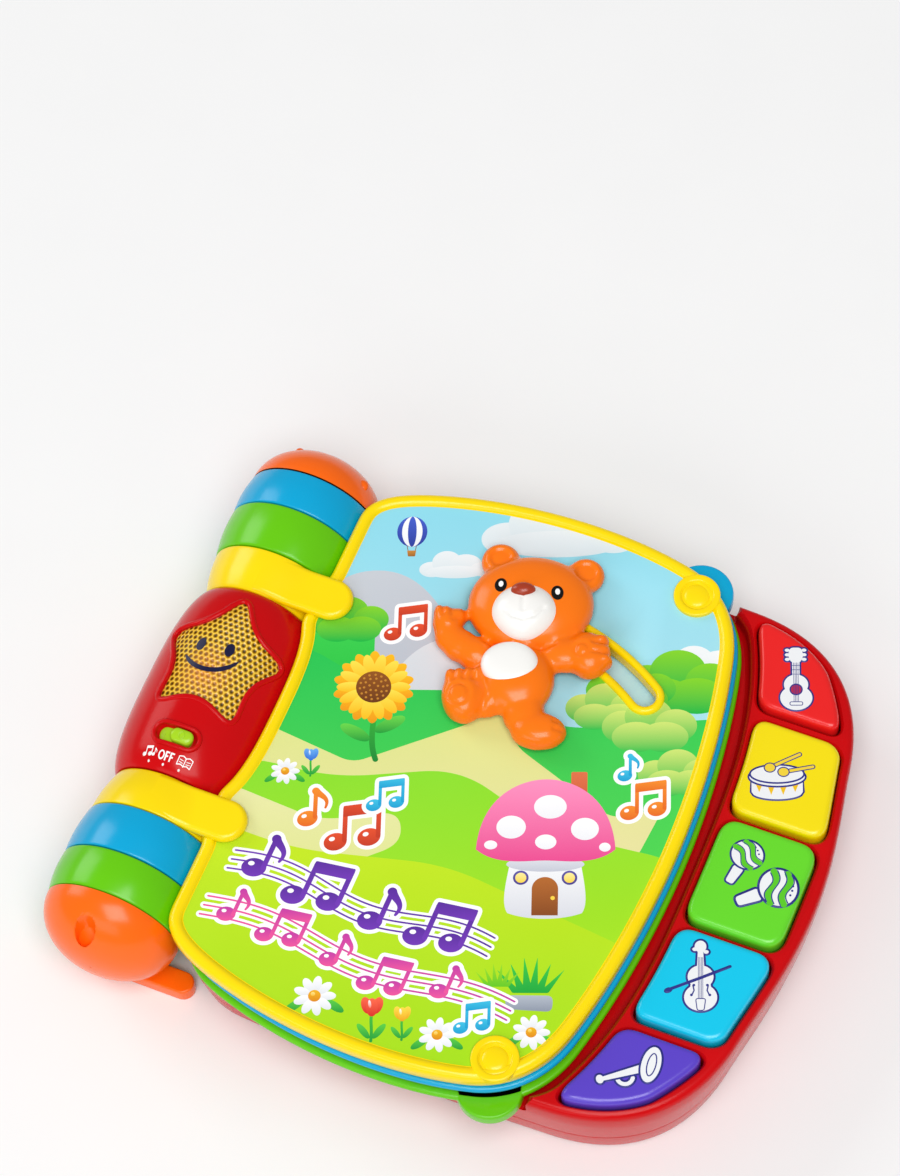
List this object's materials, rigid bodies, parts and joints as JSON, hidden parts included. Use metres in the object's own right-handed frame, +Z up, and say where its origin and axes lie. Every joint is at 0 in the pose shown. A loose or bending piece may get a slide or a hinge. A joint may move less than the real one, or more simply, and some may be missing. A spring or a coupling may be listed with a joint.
{
  "type": "musical sound book toy",
  "caption": "Electronic sound book for small children: moulded base with piano keys, stiff pages and hinged cover on a round spine, star lamp and a sliding toy bear.",
  "frame": {"origin": "on the table, under the middle of the spine's axis", "axes": "+X from the spine to the keys, +Y along the spine towards the green-ring-first end, +Z up out of the cover"},
  "size_m": [0.2715, 0.2368, 0.0678],
  "materials": {
    "red_shell": "glossy moulded",
    "yellow_frame": "glossy moulded",
    "blue_frame": "glossy moulded",
    "green_frame": "glossy moulded",
    "orange_cap": "glossy moulded",
    "key_red": "glossy moulded, printed",
    "key_yellow": "glossy moulded, printed",
    "key_green": "glossy moulded, printed",
    "key_blue": "glossy moulded, printed",
    "key_purple": "glossy moulded, printed",
    "switch_green": "glossy moulded",
    "amber_lens": "translucent, faceted",
    "printed_sheet": "printed film",
    "bear_orange": "glossy moulded",
    "bear_white": "painted, satin",
    "bear_nose": "painted, glossy",
    "carriage_gold": "satin moulded",
    "axle_grey": "matte moulded",
    "pad_rubber": "matte",
    "board_green": "lacquered",
    "lamp_clear": "clear",
    "speaker_black": "paper cone",
    "battery_jacket": "printed jacket",
    "screw_steel": "zinc plated"
  },
  "bodies": {
    "root": {"base_lower_shell": "red_shell", "base_upper_shell": "red_shell", "base_page_print": "printed_sheet", "battery_door": "red_shell", "battery_1": "battery_jacket", "battery_2": "battery_jacket", "battery_3": "battery_jacket", "speaker": "speaker_black", "key_board": "board_green", "key_pad": "pad_rubber", "base_screw_1": "screw_steel", "base_screw_2": "screw_steel", "base_screw_3": "screw_steel", "base_screw_4": "screw_steel", "star_housing": "red_shell", "star_lens": "amber_lens", "lamp_board": "board_green", "lamp": "lamp_clear", "hinge_axle_upper": "axle_grey", "hinge_axle_lower": "axle_grey", "end_cap_upper": "orange_cap", "end_cap_lower": "orange_cap", "blue_page": "blue_frame", "blue_page_print": "printed_sheet", "green_page": "green_frame", "green_page_print": "printed_sheet"},
    "cover": {"cover_frame": "yellow_frame", "cover_ring_upper": "yellow_frame", "cover_ring_lower": "yellow_frame", "cover_print_front": "printed_sheet", "cover_print_back": "printed_sheet"},
    "bear": {"bear_body": "bear_orange", "bear_muzzle": "bear_white", "bear_belly": "bear_white", "bear_nose": "bear_nose", "bear_carriage": "carriage_gold"},
    "mode_switch": {"mode_switch": "switch_green"},
    "key_red": {"key_red": "key_red"},
    "key_yellow": {"key_yellow": "key_yellow"},
    "key_green": {"key_green": "key_green"},
    "key_blue": {"key_blue": "key_blue"},
    "key_purple": {"key_purple": "key_purple"}
  },
  "joints": [
    {"name": "cover_hinge", "type": "hinge", "parent": "root", "child": "cover", "pos_m": [0, 0, 0.03], "axis": [0, -1, 0], "range_deg": [0, 170]},
    {"name": "bear_slide", "type": "hinge", "parent": "cover", "child": "bear", "pos_m": [0.1, -0.025, 0.0495], "axis": [0, 0, -1], "range_deg": [0, 29.5]},
    {"name": "mode_switch_slide", "type": "hinge", "parent": "root", "child": "mode_switch", "pos_m": [0, -0.0267, 0.03], "axis": [0, 1, 0], "range_deg": [-10.2, 2.3]},
    {"name": "key_red_press", "type": "slide", "parent": "root", "child": "key_red", "axis": [0, 0, -1], "range_m": [0, 0.0025], "stiffness_N_per_m": 800, "springref_m": -0.001},
    {"name": "key_yellow_press", "type": "slide", "parent": "root", "child": "key_yellow", "axis": [0, 0, -1], "range_m": [0, 0.0025], "stiffness_N_per_m": 800, "springref_m": -0.001},
    {"name": "key_green_press", "type": "slide", "parent": "root", "child": "key_green", "axis": [0, 0, -1], "range_m": [0, 0.0025], "stiffness_N_per_m": 800, "springref_m": -0.001},
    {"name": "key_blue_press", "type": "slide", "parent": "root", "child": "key_blue", "axis": [0, 0, -1], "range_m": [0, 0.0025], "stiffness_N_per_m": 800, "springref_m": -0.001},
    {"name": "key_purple_press", "type": "slide", "parent": "root", "child": "key_purple", "axis": [0, 0, -1], "range_m": [0, 0.0025], "stiffness_N_per_m": 800, "springref_m": -0.001}
  ]
}
